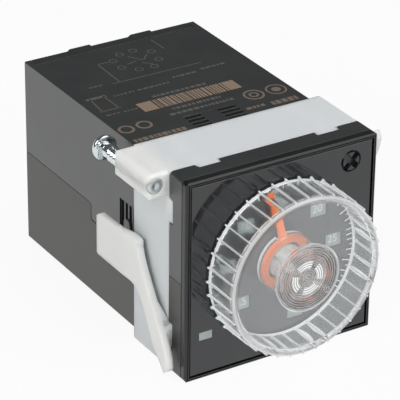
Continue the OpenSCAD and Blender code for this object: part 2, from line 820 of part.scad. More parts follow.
module mounting_bracket() {
    color("#dfe2e0") difference() {
        union() {
            difference() {
                along_y(band_front, band_rear) difference() {
                    round_square(flange_half, band_corner);
                    square(2 * (flange_half - band_wall), center = true);
                }
                for (turn = [0, 180]) rotate([0, turn, 0])
                    block([-flange_size, pawl_near - 0.3, pawl_low - 0.3],
                        [band_wall + 0.1 - flange_half, band_rear + 1, pawl_high + 0.25]);
            }
            for (turn = [0, 180]) rotate([0, turn, 0]) {
                lug();
                lever();
            }
            for (turn = [0 : 90 : 270], side = [-1, 1]) rotate([0, turn, 0]) {
                near = side * (notch_near + 0.3);
                far = side * (notch_far - 0.4);
                block([min(near, far), -key_length, flange_half - band_wall],
                    [max(near, far), band_front + 1, flange_half]);
                block([side > 0 ? 14 : -17, band_front, body_half + slide_clearance],
                    [side > 0 ? 17 : -14, band_rear, flange_half - band_wall + 0.1]);
            }
        }
        for (side = [-1, 1]) {
            rod(side * lug_x, side * lug_z, 0, band_rear + 1, screw_r + thread_clearance, 32);
        }
    }
}

// A pan-head clamp screw with a cross recess
module clamp_screw() {
    rod(0, 0, head_under - screw_length + 0.4, head_under + 0.5, screw_r);
    translate([0, head_under - screw_length + 0.4, 0]) rotate([90, 0, 0])
        cylinder(h = 0.4, r1 = screw_r, r2 = screw_r - 0.4, $fn = 48);
    difference() {
        intersection() {
            rod(0, 0, head_under, head_under + head_height, head_r);
            translate([0, head_under + head_height - 4, 0]) sphere(4, $fn = 64);
        }
        for (turn = [0, 90]) rotate([0, turn, 0])
            block([-1.6, head_under + 0.8, -0.33], [1.6, head_under + 5, 0.33]);
    }
}

module clamp_screw_left() {
    color("#c8cdd0") translate([lug_x, 0, lug_z]) clamp_screw();
}

module clamp_screw_right() {
    color("#c8cdd0") translate([-lug_x, 0, -lug_z]) clamp_screw();
}

upper_shell();
lower_shell();
rear_base();
contact_pins();
front_frame();
fascia();
light_guide();
lamp();
number_disc();
selector();
knob();
pointer();
pot_shaft();
potentiometer();
front_board();
range_switch();
main_board();
board_connector();
output_relay();
transformer();
capacitor();
timer_chip();
base_board();
mounting_bracket();
clamp_screw_left();
clamp_screw_right();
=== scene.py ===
import math
import random
import bpy
import bmesh
from mathutils import Matrix, Vector


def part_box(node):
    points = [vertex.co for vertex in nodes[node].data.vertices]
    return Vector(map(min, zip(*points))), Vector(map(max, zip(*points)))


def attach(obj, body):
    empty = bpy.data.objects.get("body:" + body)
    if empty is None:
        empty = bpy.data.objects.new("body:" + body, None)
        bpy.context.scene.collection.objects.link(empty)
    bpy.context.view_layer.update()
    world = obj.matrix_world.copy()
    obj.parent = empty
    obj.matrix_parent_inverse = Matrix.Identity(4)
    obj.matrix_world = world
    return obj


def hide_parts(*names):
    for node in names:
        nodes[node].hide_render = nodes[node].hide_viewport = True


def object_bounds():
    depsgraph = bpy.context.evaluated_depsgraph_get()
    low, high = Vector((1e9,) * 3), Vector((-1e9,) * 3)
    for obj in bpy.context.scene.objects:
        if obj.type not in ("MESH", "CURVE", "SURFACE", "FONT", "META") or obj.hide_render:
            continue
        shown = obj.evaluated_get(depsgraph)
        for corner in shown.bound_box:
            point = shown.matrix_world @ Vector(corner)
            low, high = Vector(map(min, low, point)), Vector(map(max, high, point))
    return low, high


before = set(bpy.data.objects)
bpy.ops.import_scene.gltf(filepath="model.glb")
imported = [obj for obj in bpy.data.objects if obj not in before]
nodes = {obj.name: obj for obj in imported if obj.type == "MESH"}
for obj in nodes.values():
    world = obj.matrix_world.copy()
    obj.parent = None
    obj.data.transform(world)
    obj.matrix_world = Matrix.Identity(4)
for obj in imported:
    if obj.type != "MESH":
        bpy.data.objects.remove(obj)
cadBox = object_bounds()
scene = bpy.context.scene
mm = 0.001

# Places in mm, from the solids. The plug plate reaches as far down as the case's top lies up.
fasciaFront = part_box("fascia")[0].y / mm
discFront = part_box("number_disc")[0].y / mm
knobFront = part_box("knob")[0].y / mm
caseTop = -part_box("rear_base")[0].z / mm
screwLow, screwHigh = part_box("clamp_screw_left")
screwPlace = Vector((screwLow.x + screwHigh.x, 0, screwLow.z + screwHigh.z)) / 2 / mm
print("relay solids loaded")


def hexToLinear(code):
    parts = [int(code[i:i + 2], 16) / 255 for i in (1, 3, 5)]
    linear = [p / 12.92 if p <= 0.04045 else ((p + 0.055) / 1.055) ** 2.4 for p in parts]
    return (*linear, 1.0)


def addNode(tree, kind, settings=None, values=None, links=None):
    node = tree.nodes.new(kind)
    for name, value in (settings or {}).items():
        setattr(node, name, value)
    for name, value in (values or {}).items():
        node.inputs[name].default_value = value
    for name, source in (links or {}).items():
        tree.links.new(source, node.inputs[name])
    return node


def newMaterial(name):
    material = bpy.data.materials.new(name)
    material.use_nodes = True
    tree = material.node_tree
    tree.nodes.clear()
    output = addNode(tree, "ShaderNodeOutputMaterial")
    place = addNode(tree, "ShaderNodeTexCoord").outputs["Object"]
    return material, tree, output, place


# In a colour mix, inputs 6 and 7 are the two colours and output 2 is the mixed one
colourMix = {"data_type": "RGBA"}
# Noise lies mostly about its middle, so these stretches of it go from one colour to the other
cloudRange, inkRange = (0.35, 0.65), (0.35, 0.7)
# Gloss varies along a piece between these shares of its roughness
metalGloss, clearGloss = (0.7, 1.4), (0.6, 1.6)


# A translucent moulding takes on some of the dark piece right behind it. It is paler where it
# stands free, and softly so towards the two thick lugs, which lie opposite each other. Faces
# turned to the left or right are painted a little greyer. This is painted shade from the light
# falling from above and from the lever beside the band's side, and on the band it is partly its thin
# wall as well.
def backedColour(tree, place, look, colour):
    across = addNode(tree, "ShaderNodeSeparateXYZ", None, None, {0: place}).outputs[0]
    side = addNode(tree, "ShaderNodeMath", {"operation": "ABSOLUTE"}, None, {0: across}).outputs[0]
    beyond = addNode(tree, "ShaderNodeMapRange", None,
                     {"From Min": look["freeFromMm"] * mm, "From Max": look["freeAtMm"] * mm},
                     {"Value": side}).outputs[0]
    turned = addNode(tree, "ShaderNodeMath", {"operation": "SIGN"}, None, {0: across}).outputs[0]
    onRight = addNode(tree, "ShaderNodeVectorMath", {"operation": "SCALE"}, None,
                      {0: place, "Scale": turned}).outputs[0]  # the left lug turns onto the right
    flat = addNode(tree, "ShaderNodeVectorMath", {"operation": "MULTIPLY"}, {1: (1, 0, 1)},
                   {0: onRight}).outputs[0]
    rightLug = (-screwPlace.x * mm, 0, -screwPlace.z * mm)
    away = addNode(tree, "ShaderNodeVectorMath", {"operation": "DISTANCE"}, {1: rightLug},
                   {0: flat}).outputs["Value"]
    near = addNode(tree, "ShaderNodeMapRange", None,
                   {"From Min": look["paleMm"] * mm, "From Max": look["fadeMm"] * mm,
                    "To Min": 1.0, "To Max": 0.0}, {"Value": away}).outputs[0]
    free = addNode(tree, "ShaderNodeMath", {"operation": "MAXIMUM"}, None,
                   {0: beyond, 1: near}).outputs[0]
    # Painted shade: faces turned to the left or right take the greyer side colours
    facing = addNode(tree, "ShaderNodeNewGeometry").outputs["Normal"]
    facingX = addNode(tree, "ShaderNodeSeparateXYZ", None, None, {0: facing}).outputs[0]
    sideways = addNode(tree, "ShaderNodeMath", {"operation": "ABSOLUTE"}, None,
                       {0: facingX}).outputs[0]
    sideways = addNode(tree, "ShaderNodeMapRange", None,
                       {"From Min": look["sideRange"][0], "From Max": look["sideRange"][1]},
                       {"Value": sideways}).outputs[0]
    backed = addNode(tree, "ShaderNodeMix", colourMix,
                     {6: hexToLinear(look["backedColour"]), 7: hexToLinear(look["sideShadeColour"])},
                     {0: sideways}).outputs[2]
    thinInkAndSideShade = addNode(tree, "ShaderNodeMath", {"operation": "SUBTRACT"}, None,
                   {0: sideways, 1: near}).outputs[0]
    loose = addNode(tree, "ShaderNodeMix", colourMix, {7: hexToLinear(look["thinInkAndSideShadeColour"])},
                    {0: thinInkAndSideShade, 6: colour}).outputs[2]
    return addNode(tree, "ShaderNodeMix", colourMix, None, {0: free, 6: backed, 7: loose}).outputs[2]


# Injection-moulded plastic: a spark-eroded grain of a known width, a faint cloudiness where the
# melt flowed, and edges rounded by the mould. It gives a soft sheen that breaks up at the grain.
def mouldedPlastic(name, look):
    material, tree, output, place = newMaterial(name)
    grain = addNode(tree, "ShaderNodeTexNoise", None,
                    {"Scale": 1 / (look["grainMm"] * mm), "Detail": 2.0}, {"Vector": place})
    cloud = addNode(tree, "ShaderNodeTexNoise", None,
                    {"Scale": 1 / (look["cloudMm"] * mm), "Detail": 3.0}, {"Vector": place})
    cloudy = addNode(tree, "ShaderNodeMapRange", None,
                     {"From Min": cloudRange[0], "From Max": cloudRange[1]},
                     {"Value": cloud.outputs[0]})
    colour = addNode(tree, "ShaderNodeMix", colourMix,
                     {6: hexToLinear(look["colour"]), 7: hexToLinear(look["cloudColour"])},
                     {0: cloudy.outputs[0]}).outputs[2]
    if "backedColour" in look:
        colour = backedColour(tree, place, look, colour)
    rough = addNode(tree, "ShaderNodeMapRange", None,
                    {"To Min": look["rough"] - look["roughSpread"],
                     "To Max": look["rough"] + look["roughSpread"]}, {"Value": grain.outputs[0]})
    edge = addNode(tree, "ShaderNodeBevel", {"samples": 4}, {"Radius": look["edgeMm"] * mm})
    bump = addNode(tree, "ShaderNodeBump", None,
                   {"Strength": look["bump"], "Distance": look["grainMm"] * mm * 0.2},
                   {"Height": grain.outputs[0], "Normal": edge.outputs[0]})
    shader = addNode(tree, "ShaderNodeBsdfPrincipled", None,
                     {"IOR": look["ior"], "Specular IOR Level": look.get("specular", 0.5),
                      "Subsurface Weight": look.get("inside", 0.0),
                      "Subsurface Radius": (0.9, 0.9, 0.9),
                      "Subsurface Scale": look.get("insideMm", 1.0) * mm},
                     {"Base Color": colour, "Roughness": rough.outputs[0],
                      "Normal": bump.outputs[0]})
    tree.links.new(shader.outputs[0], output.inputs[0])
    return material


# ABS from a spark-eroded mould: an even grain spreads the light, so lit sides turn dark grey. It
# is too fine to be seen grain by grain here, and shows as a soft sheen.
caseLook = {"colour": "#292b2c", "cloudColour": "#2e3030", "grainMm": 0.12, "cloudMm": 9.0,
            "rough": 0.38, "roughSpread": 0.06, "bump": 0.2, "edgeMm": 0.15, "ior": 1.58,
            "specular": 1.0}
caseAbs = mouldedPlastic("absBlackSparkErodedCase", caseLook)

# The lower half is a touch browner and has less sheen
lowerLook = {**caseLook, "colour": "#292926", "cloudColour": "#2d2d29", "specular": 0.6}
lowerAbs = mouldedPlastic("absBlackSparkErodedLower", lowerLook)

# The plug plate has the case's grain in a deeper black
plateLook = {**caseLook, "colour": "#212324", "cloudColour": "#262829"}
plateAbs = mouldedPlastic("absBlackMouldedPlugPlate", plateLook)

# The front frame's mould is smoother, so it looks blacker and has a tighter sheen
frameLook = {**caseLook, "colour": "#111314", "cloudColour": "#161819", "rough": 0.25,
             "specular": 0.44}
frameAbs = mouldedPlastic("absBlackMouldedFrame", frameLook)

# The selector has the frame's finish and is greyer, so its lobes show against the dark hole
selectorLook = {**frameLook, "colour": "#26292b", "cloudColour": "#2a2d2f", "edgeMm": 0.08}
selectorAbs = mouldedPlastic("absBlackMouldedSelector", selectorLook)

# Smoked polycarbonate from a polished mould: nearly black, and it mirrors the knob sharply
fasciaLook = {"colour": "#1f2123", "cloudColour": "#212325", "grainMm": 0.3, "cloudMm": 15.0,
              "rough": 0.04, "roughSpread": 0.02, "bump": 0.01, "edgeMm": 0.22, "ior": 1.58,
              "specular": 0.54}
fasciaPc = mouldedPlastic("polycarbonateSmokedPolishedFascia", fasciaLook)

# Natural nylon is milky: light sinks in and softens its shading, and edges look rounder
# Its side colours paint shade on faces turned to the left or right
nylonLook = {"colour": "#f5f6f2", "cloudColour": "#eff1ec", "grainMm": 0.2, "cloudMm": 6.0,
             "rough": 0.45, "roughSpread": 0.06, "bump": 0.12, "edgeMm": 0.7, "ior": 1.53,
             "inside": 0.8, "insideMm": 3.4, "backedColour": "#e3e9ec", "sideShadeColour": "#d6dbdd",
             "thinInkAndSideShadeColour": "#e7e8e4", "sideRange": (0.4, 0.9), "freeFromMm": 24.4,
             "freeAtMm": 25.0, "paleMm": 3.6, "fadeMm": 8.0}
nylon = mouldedPlastic("nylonNaturalMouldedBracket", nylonLook)

# Orange acetal: strong colour with a little depth and a satin face
pointerLook = {"colour": "#ff7c0c", "cloudColour": "#fb720a", "grainMm": 0.15, "cloudMm": 3.0,
               "rough": 0.3, "roughSpread": 0.05, "bump": 0.05, "edgeMm": 0.08, "ior": 1.48,
               "inside": 0.2, "insideMm": 0.5}
pointerAcetal = mouldedPlastic("acetalOrangeMouldedPointer", pointerLook)

# Grey polystyrene behind the windows: flat and matt, so only the numbers stand out
discLook = {"colour": "#a4aeac", "cloudColour": "#9ca6a4", "grainMm": 0.15, "cloudMm": 5.0,
            "rough": 0.55, "roughSpread": 0.05, "bump": 0.05, "edgeMm": 0.05, "ior": 1.5}
discPolystyrene = mouldedPlastic("polystyreneGreyMouldedDisc", discLook)

# The frosted light guide is uneven pale grey while its lamp is off
guideLook = {"colour": "#8f9a98", "cloudColour": "#a3adaa", "grainMm": 0.1, "cloudMm": 1.2,
             "rough": 0.35, "roughSpread": 0.08, "bump": 0.1, "edgeMm": 0.08, "ior": 1.49}
guidePc = mouldedPlastic("polycarbonateFrostedMouldedGuide", guideLook)

# Where the mould is ground, clear polycarbonate comes out white and matt
# On the boss arcs this white also partly paints a reflection
bossLook = {"colour": "#f2f3f3", "cloudColour": "#e9ebeb", "grainMm": 0.1, "cloudMm": 2.0,
            "rough": 0.4, "roughSpread": 0.05, "bump": 0.05, "edgeMm": 0.05, "ior": 1.58}
bossPc = mouldedPlastic("polycarbonateGroundBossAndPaintedReflection", bossLook)


# Bright metal, plated or drawn: short streaks along the part and small changes of gloss
def brightMetal(name, look):
    material, tree, output, place = newMaterial(name)
    stretched = addNode(tree, "ShaderNodeMapping", None, {"Scale": look["stretch"]},
                        {"Vector": place})
    streak = addNode(tree, "ShaderNodeTexNoise", None,
                     {"Scale": 1 / (look["grainMm"] * mm), "Detail": 3.0},
                     {"Vector": stretched.outputs[0]}).outputs[0]
    colour = addNode(tree, "ShaderNodeMix", colourMix,
                     {6: hexToLinear(look["colour"]), 7: hexToLinear(look["cloudColour"])},
                     {0: streak}).outputs[2]
    rough = addNode(tree, "ShaderNodeMapRange", None,
                    {"To Min": look["rough"] * metalGloss[0],
                     "To Max": look["rough"] * metalGloss[1]},
                    {"Value": streak})
    bump = addNode(tree, "ShaderNodeBump", None,
                   {"Strength": look["bump"], "Distance": look["streakMm"] * mm},
                   {"Height": streak})
    shader = addNode(tree, "ShaderNodeBsdfPrincipled", None, {"Metallic": 1.0},
                     {"Base Color": colour, "Roughness": rough.outputs[0],
                      "Normal": bump.outputs[0]})
    tree.links.new(shader.outputs[0], output.inputs[0])
    return material


# Steel, bright zinc plated: almost a mirror, with a cold tint
zincLook = {"colour": "#e4eaea", "cloudColour": "#ccd6d7", "grainMm": 0.4, "stretch": (1, 0.3, 1),
            "rough": 0.1, "bump": 0.08, "streakMm": 0.01}
zincSteel = brightMetal("steelBrightZincPlatedScrew", zincLook)

# The screw's cut end has lost its gloss, so it stays evenly pale among dark pieces
cutLook = {**zincLook, "rough": 0.45}
cutSteel = brightMetal("steelCutZincPlatedScrewEnd", cutLook)

# Turned brass, nickel plated: warmer than zinc and softly shining
pinLook = {"colour": "#cfcdc4", "cloudColour": "#bdbaae", "grainMm": 0.5, "stretch": (1, 0.2, 1),
           "rough": 0.18, "bump": 0.1, "streakMm": 0.01}
pinBrass = brightMetal("brassNickelPlatedTurnedPin", pinLook)


# Clear moulded polycarbonate: polished where it is looked through, and slightly frosted on the
# ribs, the rims and the boss, where the mould is only ground. Faint flow lines bend what shows.
def clearPolycarbonate(name, look):
    material, tree, output, place = newMaterial(name)
    flow = addNode(tree, "ShaderNodeTexNoise", None,
                   {"Scale": 1 / (look["flowMm"] * mm), "Detail": 1.0}, {"Vector": place})
    flat = addNode(tree, "ShaderNodeVectorMath", {"operation": "MULTIPLY"}, {1: (1, 0, 1)},
                   {0: place})
    radius = addNode(tree, "ShaderNodeVectorMath", {"operation": "LENGTH"}, None,
                     {0: flat.outputs[0]}).outputs["Value"]
    depth = addNode(tree, "ShaderNodeSeparateXYZ", None, None, {0: place}).outputs[1]
    levels = [None, None, None]
    for *amounts, radii, depths in look["frosted"].values():
        inside = None  # one within the zone, and nothing outside it
        for source, (low, high) in ((radius, radii), (depth, depths)):
            for limit, operation in ((low, "GREATER_THAN"), (high, "LESS_THAN")):
                test = addNode(tree, "ShaderNodeMath", {"operation": operation},
                               {1: limit * mm}, {0: source}).outputs[0]
                inside = test if inside is None else addNode(
                    tree, "ShaderNodeMath", {"operation": "MULTIPLY"}, None,
                    {0: inside, 1: test}).outputs[0]
        for i, amount in enumerate(amounts):
            part = addNode(tree, "ShaderNodeMath", {"operation": "MULTIPLY"}, {1: amount},
                           {0: inside}).outputs[0]
            levels[i] = part if levels[i] is None else addNode(
                tree, "ShaderNodeMath", {"operation": "MAXIMUM"}, None,
                {0: levels[i], 1: part}).outputs[0]
    frost, blur, paintedShade = levels  # each is the greatest of all zones at that point
    # Painted shade: the zones turn the clear base colour towards a dim brown-grey
    colour = addNode(tree, "ShaderNodeMix", colourMix,
                     {6: hexToLinear(look["colour"]), 7: hexToLinear(look["paintedShadeColour"])},
                     {0: paintedShade}).outputs[2]
    clear = addNode(tree, "ShaderNodeMapRange", None, {"To Min": look["clear"], "To Max": 0.0},
                    {"Value": frost})
    polish = addNode(tree, "ShaderNodeMapRange", None,
                     {"To Min": look["rough"] * clearGloss[0],
                      "To Max": look["rough"] * clearGloss[1]},
                     {"Value": flow.outputs[0]})
    rough = addNode(tree, "ShaderNodeMath", {"operation": "ADD"}, None,
                    {0: polish.outputs[0], 1: blur})
    edge = addNode(tree, "ShaderNodeBevel", {"samples": 4}, {"Radius": look["edgeMm"] * mm})
    bump = addNode(tree, "ShaderNodeBump", None,
                   {"Strength": look["bump"], "Distance": look["waveMm"] * mm},
                   {"Height": flow.outputs[0], "Normal": edge.outputs[0]})
    shader = addNode(tree, "ShaderNodeBsdfPrincipled", None, {"IOR": look["ior"]},
                     {"Base Color": colour, "Transmission Weight": clear.outputs[0],
                      "Roughness": rough.outputs[0], "Normal": bump.outputs[0]})
    tree.links.new(shader.outputs[0], output.inputs[0])
    return material


# Each frosted zone: share of white, blur and painted shade, then its radii and its reach along
# the axis, both in mm. The painted shade darkens the rim band, the rib ends and the turned rings
# to the dim grey and brown that shows through the clear plastic.
knobLook = {"colour": "#f6f8f9", "paintedShadeColour": "#8a7873", "flowMm": 6.0, "waveMm": 0.02,
            "rough": 0.02, "bump": 0.03, "ior": 1.58, "edgeMm": 0.12, "clear": 0.985, "frosted": {
                "ribs": (0.54, 0.3, 0.08, (18.72, 20.0), (-20.0, 0.0)),
                "rearRim": (0.85, 0.3, 0.0, (17.3, 20.0), (-7.65, 0.0)),
                "frontChamfer": (0.55, 0.2, 0.1, (18.06, 20.0), (-16.9, -16.3)),
                "frontRim": (0.1, 0.2, 0.4, (17.35, 18.12), (-17.1, -16.86)),
                "innerCorner": (0.15, 0.2, 0.0, (17.0, 17.46), (-15.3, -14.85)),
                "boss": (0.15, 0.2, 0.0, (2.05, 3.7), (-14.4, -8.0)),
                "hubRear": (0.6, 0.2, 0.0, (5.9, 7.2), (-7.6, 0.0)),
                "face": (0.13, 0.0, 0.0, (8.0, 17.35), (-17.1, -16.8)),
                "wallInside": (0.03, 0.1, 0.0, (17.2, 17.65), (-14.85, -7.65)),
                "wallOutside": (0.0, 0.15, 0.0, (17.65, 18.72), (-16.3, -7.65)),
                "turnedRings": (0.12, 0.03, 0.4, (0.0, 7.5), (-17.1, -16.6)),
                "ringCrests": (0.4, 0.05, 0.0, (0.0, 7.5), (-17.1, -16.915)),
                "hubGroove": (0.45, 0.1, 0.0, (7.6, 7.98), (-17.1, -16.7))}}
knobPc = clearPolycarbonate("polycarbonateClearPolishedKnob", knobLook)


# Pad-printed or laser-marked ink: opaque and matt, a little thin and speckled
def printedInk(name, look):
    material, tree, output, place = newMaterial(name)
    speckle = addNode(tree, "ShaderNodeTexNoise", None,
                      {"Scale": 1 / (look["speckleMm"] * mm), "Detail": 2.0}, {"Vector": place})
    thinInkAndSideShade = addNode(tree, "ShaderNodeMapRange", None,
                   {"From Min": inkRange[0], "From Max": inkRange[1]},
                   {"Value": speckle.outputs[0]})
    colour = addNode(tree, "ShaderNodeMix", colourMix,
                     {6: hexToLinear(look["colour"]), 7: hexToLinear(look["thinInkAndSideShadeColour"])},
                     {0: thinInkAndSideShade.outputs[0]}).outputs[2]
    shader = addNode(tree, "ShaderNodeBsdfPrincipled", None,
                     {"Roughness": look["rough"], "IOR": 1.5}, {"Base Color": colour})
    tree.links.new(shader.outputs[0], output.inputs[0])
    return material


# Pad-printed inks on the front stand out clearly. The laser only browns the black case.
dialInkLook = {"colour": "#fbfdfd", "thinInkAndSideShadeColour": "#eff3f3", "speckleMm": 0.15, "rough": 0.5}
dialInk = printedInk("inkPaleGreyPadPrinted", dialInkLook)
numberInkLook = {"colour": "#dfe7e5", "thinInkAndSideShadeColour": "#d3dcda", "speckleMm": 0.15, "rough": 0.5}
numberInk = printedInk("inkWhitePadPrinted", numberInkLook)
markInkLook = {"colour": "#95806d", "thinInkAndSideShadeColour": "#776a5c", "speckleMm": 0.3, "rough": 0.6}
markInk = printedInk("absLaserMarkedBeige", markInkLook)
faintInkLook = {"colour": "#66615a", "thinInkAndSideShadeColour": "#4e4e4b", "speckleMm": 0.25, "rough": 0.6}
faintInk = printedInk("absLaserMarkedFaint", faintInkLook)
brownInkLook = {"colour": "#7c6e61", "thinInkAndSideShadeColour": "#665b50", "speckleMm": 0.3, "rough": 0.6}
brownInk = printedInk("absLaserMarkedBrown", brownInkLook)

# What stays inside the case: each in its own moulded, laminated or wound finish
innerLook = {"grainMm": 0.15, "cloudMm": 4.0, "roughSpread": 0.05, "bump": 0.1, "edgeMm": 0.1,
             "ior": 1.52}
innerLooks = {
    "lamp": ("epoxyDiffusedCastLamp", "#e6dcae", "#dccf98", 0.3),
    "pot_shaft": ("acetalNaturalMouldedShaft", "#d8d8d0", "#cccdc4", 0.35),
    "potentiometer": ("phenolicBlueMouldedPotentiometer", "#34465e", "#2c3c52", 0.45),
    "front_board": ("epoxyGlassGreenLaminatedFrontBoard", "#1f6b42", "#1a5e39", 0.25),
    "range_switch": ("pbtGreyMouldedSwitch", "#5a5e63", "#505459", 0.4),
    "main_board": ("epoxyGlassGreenLaminatedMainBoard", "#1f6b42", "#1a5e39", 0.25),
    "board_connector": ("pbtBlackMouldedConnector", "#1c1e20", "#232527", 0.4),
    "output_relay": ("pbtWhiteMouldedRelayCover", "#d3d8d2", "#c6ccc5", 0.35),
    "transformer": ("steelLaminatedVarnishedTransformer", "#6e6455", "#5c5346", 0.5),
    "capacitor": ("pvcBlueShrunkCapacitorSleeve", "#23396a", "#1d305a", 0.25),
    "timer_chip": ("epoxyBlackMouldedChip", "#1b1c1e", "#232426", 0.5),
    "base_board": ("epoxyGlassGreenLaminatedBaseBoard", "#1f6b42", "#1a5e39", 0.25),
}


def dress(name, material):
    slots = nodes[name].data.materials
    if not slots:
        slots.append(material)
    for i in range(len(slots)):
        slots[i] = material


for name, material in {
        "upper_shell": caseAbs, "lower_shell": lowerAbs, "rear_base": plateAbs,
        "contact_pins": pinBrass, "front_frame": frameAbs, "fascia": fasciaPc,
        "light_guide": guidePc, "number_disc": discPolystyrene, "selector": selectorAbs,
        "knob": knobPc, "pointer": pointerAcetal, "mounting_bracket": nylon,
        "clamp_screw_left": zincSteel, "clamp_screw_right": zincSteel}.items():
    dress(name, material)
for name, (label, colour, cloudColour, rough) in innerLooks.items():
    dress(name, mouldedPlastic(label, {**innerLook, "colour": colour, "cloudColour": cloudColour,
                                       "rough": rough}))
nodes["knob"].visible_shadow = False  # lamps shine through it, which a traced shadow would stop
print("materials on every solid")


# Printed marks are thin sheets that float just over the surface they are printed on
inkMm = 0.012


def sheetOfShapes(name, shapes, toPlace, material, body):
    mesh = bpy.data.meshes.new(name)
    bm = bmesh.new()
    for shape in shapes:
        corners = [bm.verts.new(toPlace(u, v)) for u, v in shape]
        bm.faces.new(corners)
    bmesh.ops.recalc_face_normals(bm, faces=bm.faces)
    bm.to_mesh(mesh)
    bm.free()
    piece = bpy.data.objects.new(name, mesh)
    scene.collection.objects.link(piece)
    mesh.materials.append(material)
    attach(piece, body)


def bar(u0, v0, u1, v1, width):
    along = Vector((u1 - u0, v1 - v0)).normalized()
    side = Vector((-along.y, along.x)) * width / 2
    start, end = Vector((u0, v0)), Vector((u1, v1))
    return [tuple(p) for p in (start - side, end - side, end + side, start + side)]


def box2d(u0, v0, u1, v1):
    return [(u0, v0), (u1, v0), (u1, v1), (u0, v1)]


def ringShapes(u, v, outer, inner, steps=24):
    shapes = []
    for i in range(steps):
        a, b = 2 * math.pi * i / steps, 2 * math.pi * (i + 1) / steps
        shapes.append([(u + outer * math.cos(a), v + outer * math.sin(a)),
                       (u + outer * math.cos(b), v + outer * math.sin(b)),
                       (u + inner * math.cos(b), v + inner * math.sin(b)),
                       (u + inner * math.cos(a), v + inner * math.sin(a))])
    return shapes


# The dial goes round in steps from number to number, with ten ticks to a step
dial = {"stepDegrees": 42.3, "perStep": 10, "ticks": 60, "outer": 18.4, "numberInner": 16.2,
        "halfInner": 15.9, "oddInner": 16.4, "evenInner": 17.2, "width": 0.26}


def tickShapes():
    shapes = []
    for i in range(dial["ticks"] + 1):
        angle = math.radians((i - dial["ticks"] / 2) * dial["stepDegrees"] / dial["perStep"])
        if i % dial["perStep"] == 0:
            inner = dial["numberInner"]
        elif i % dial["perStep"] == dial["perStep"] // 2:
            inner = dial["halfInner"]
        else:
            inner = dial["oddInner"] if i % 2 else dial["evenInner"]
        s, c = math.sin(angle), math.cos(angle)
        shapes.append(bar(inner * s, inner * c, dial["outer"] * s, dial["outer"] * c,
                          dial["width"]))
    return shapes


def onFascia(u, v):
    return Vector((u, fasciaFront - inkMm, v)) * mm


sheetOfShapes("dialTicks", tickShapes(), onFascia, dialInk, "housing")

# The disc has two scales, the second half a step further back
disc = {"radius": 13.0, "digitMm": 2.6, "scales": {
    0.0: ["1.5", "5", "10", "15", "20", "25", "30"],
    -dial["stepDegrees"] / 2: ["3", "10", "20", "30", "40", "50", "60"]}}


# Numbers are laid out as filled outlines and turned into meshes
def numberMesh(words, size):
    curve = bpy.data.curves.new("numberOutline", "FONT")
    curve.body = words
    curve.size = size
    curve.align_x = "CENTER"
    curve.align_y = "CENTER"
    holder = bpy.data.objects.new("numberHolder", curve)
    scene.collection.objects.link(holder)
    bpy.context.view_layer.update()
    evaluated = holder.evaluated_get(bpy.context.evaluated_depsgraph_get())
    mesh = bpy.data.meshes.new_from_object(evaluated)
    bpy.data.objects.remove(holder)
    bpy.data.curves.remove(curve)
    return mesh


def discNumbers():
    bm = bmesh.new()
    for turn, words in disc["scales"].items():
        for i, word in enumerate(words):
            angle = math.radians((i - len(words) // 2) * dial["stepDegrees"])
            place = Vector((disc["radius"] * math.sin(angle), discFront - inkMm,
                            disc["radius"] * math.cos(angle)))
            mesh = numberMesh(word, disc["digitMm"])
            mesh.transform(Matrix.Rotation(math.radians(turn), 4, "Y") @ Matrix.Translation(place)
                           @ Matrix.Rotation(math.radians(90), 4, "X"))
            bm.from_mesh(mesh)
            bpy.data.meshes.remove(mesh)
    bmesh.ops.scale(bm, vec=(mm, mm, mm), verts=bm.verts)
    mesh = bpy.data.meshes.new("discNumbers")
    bm.to_mesh(mesh)
    bm.free()
    piece = bpy.data.objects.new("discNumbers", mesh)
    scene.collection.objects.link(piece)
    mesh.materials.append(numberInk)
    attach(piece, "dial_disc")


discNumbers()
print("dial ticks and numbers printed")

# The knob's boss grips the shaft with four arcs. White sheets just behind the front face show
# their ends bright: partly the ground ends, partly a painted reflection.
boss = {"inner": 2.2, "outer": 3.9, "behindFace": 0.09, "pointerDegrees": -12.8, "arcs": 4,
        "gapDegrees": 26, "steps": 12}


def bossArcs():
    shapes = []
    quarter = 360 // boss["arcs"]
    span = quarter - boss["gapDegrees"]
    for turn in range(0, 360, quarter):
        for i in range(boss["steps"]):
            a, b = [math.radians(boss["pointerDegrees"] + turn + span * (n / boss["steps"] - 0.5))
                    for n in (i, i + 1)]
            shapes.append([(r * math.sin(angle), r * math.cos(angle)) for r, angle in (
                (boss["inner"], a), (boss["outer"], a), (boss["outer"], b), (boss["inner"], b))])
    return shapes


def onBoss(u, v):
    return Vector((u, knobFront + boss["behindFace"], v)) * mm


sheetOfShapes("bossArcs", bossArcs(), onBoss, bossPc, "setting_knob")
print("boss arcs laid")

# Plain shapes stand for the laser marks on the case's top. A place is given across, then rearwards.
barField = {"seed": 4, "front": 29.6, "rear": 34.0, "blocks": [(-12.2, -8.5), (9.8, 12.8)],
            "from": -8.1, "until": 9.3, "end": 9.6, "barsMm": (0.25, 0.4, 0.55, 0.8),
            "gapsMm": (0.18, 0.25, 0.35)}
diagram = {"lineMm": 0.3, "outer": 1.0, "inner": 0.75,
           "lines": [(-6.2, 56.1, -9.0, 56.3), (-9.0, 56.3, -9.3, 45.7), (-11.4, 45.7, 11.9, 45.5),
                     (8.4, 61.9, 8.5, 56.2), (-0.9, 56.6, 1.2, 53.2), (1.2, 53.2, 3.4, 55.4),
                     (-3.2, 52.9, -0.4, 53.6), (2.0, 50.4, 0.2, 52.2)],
           "rings": [(-5.1, 56.1), (-2.0, 58.5), (1.7, 58.8), (5.15, 56.3), (4.5, 51.9),
                     (1.7, 49.1), (-2.2, 49.3), (-5.15, 52.1)]}
